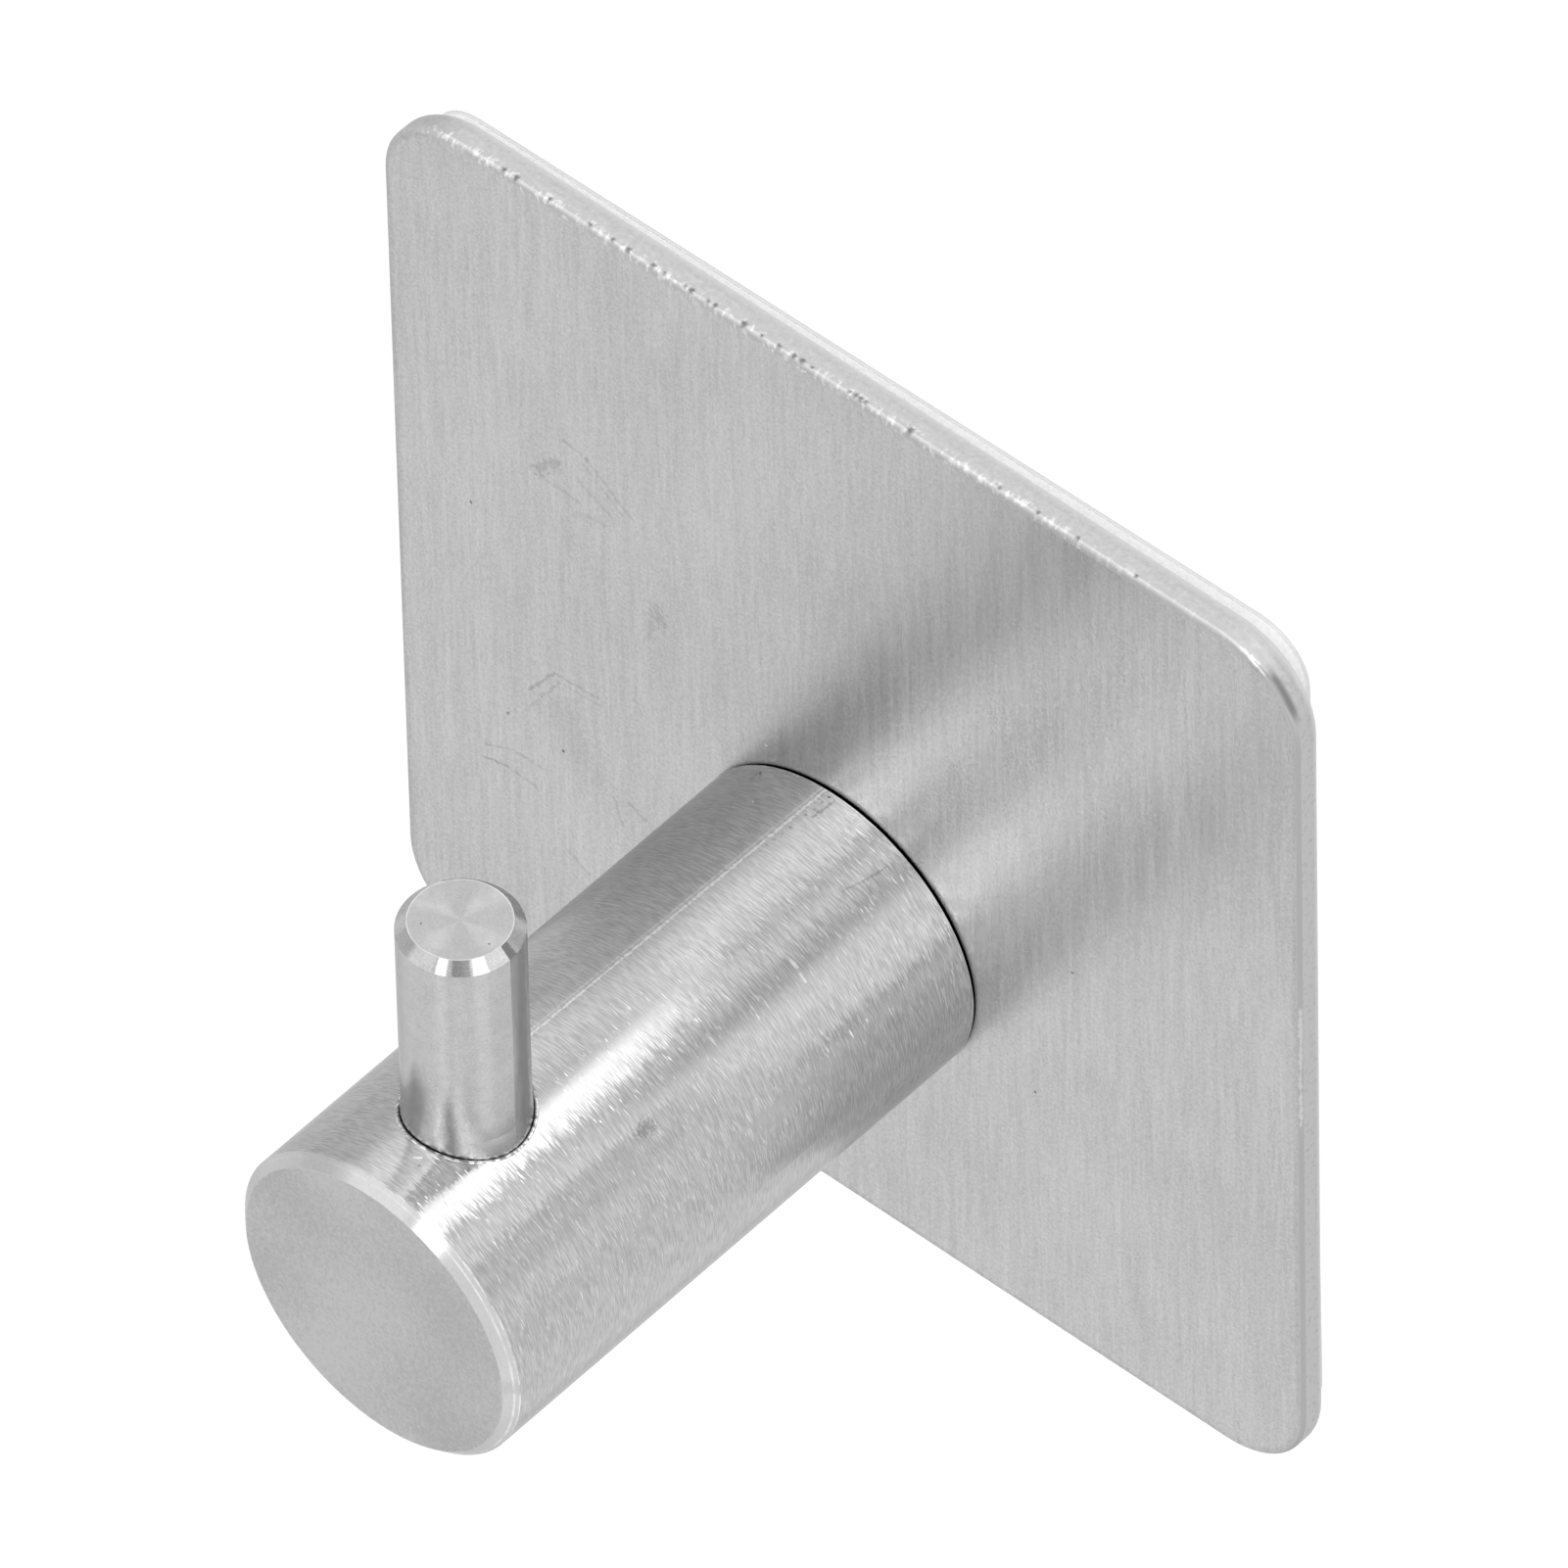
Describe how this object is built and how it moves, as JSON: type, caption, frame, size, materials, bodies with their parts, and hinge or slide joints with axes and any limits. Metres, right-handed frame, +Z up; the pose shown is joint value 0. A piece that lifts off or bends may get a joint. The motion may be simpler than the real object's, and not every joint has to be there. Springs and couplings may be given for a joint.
{
  "type": "adhesive wall hook",
  "caption": "Square metal wall plate on an adhesive foam pad, with a round post standing out of it and an upright pin near the post's end to keep a towel or loop on.",
  "frame": {"origin": "on the wall face of the pad, behind the middle of the plate", "axes": "+Y into the wall, so the post stands out along -Y; +Z up; +X to the right seen from the front"},
  "size_m": [0.046, 0.029, 0.046],
  "materials": {
    "brushed_plate": "fine upright brushing",
    "turned_post": "brushed round the bar, plain faced end",
    "satin_pin": "smooth satin with a turned end",
    "screw_steel": "bright",
    "clear_adhesive": "tacky acrylic coat",
    "white_foam": "fine closed-cell foam",
    "liner_film": "smooth release film"
  },
  "bodies": {
    "hook": {"wall_plate": "brushed_plate", "hook_post": "turned_post", "hook_pin": "satin_pin", "post_screw": "screw_steel", "front_adhesive": "clear_adhesive", "foam_pad": "white_foam", "rear_adhesive": "clear_adhesive"},
    "liner": {"release_liner": "liner_film"}
  },
  "joints": [
    {"name": "liner_peel", "type": "slide", "parent": "hook", "child": "liner", "axis": [0, 1, 0], "range_m": [0, 0.03]}
  ]
}
